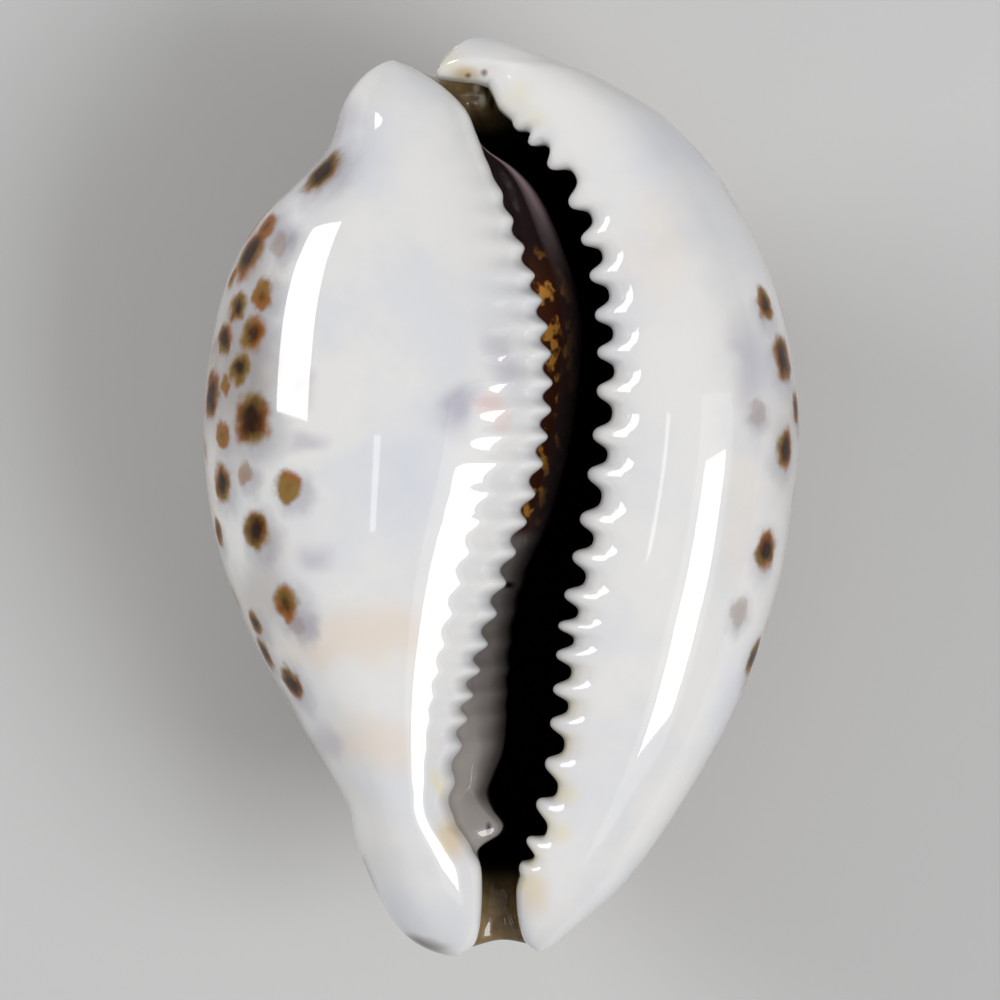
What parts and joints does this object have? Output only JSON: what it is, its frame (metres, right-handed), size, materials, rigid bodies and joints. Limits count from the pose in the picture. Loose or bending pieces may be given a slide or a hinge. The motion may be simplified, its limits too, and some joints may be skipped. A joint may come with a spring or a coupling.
{
  "type": "cowrie shell",
  "caption": "Glossy egg-shaped sea shell with a rolled, toothed slit of an aperture along its flat side and a spotted domed back, lying on its back.",
  "frame": {"origin": "middle of the shell's bounding box, at the level of the flat spot that it rests on", "axes": "+Y to the posterior (spire) end, +X to the outer (labral) lip, +Z out of the base with the aperture up"},
  "size_m": [0.0559, 0.0851, 0.0441],
  "materials": {
    "shell": "glossy porcelain-like shell, white base, brown spots on the flanks and back"
  },
  "bodies": {
    "root": {"cowrie_shell": "shell"}
  },
  "joints": []
}
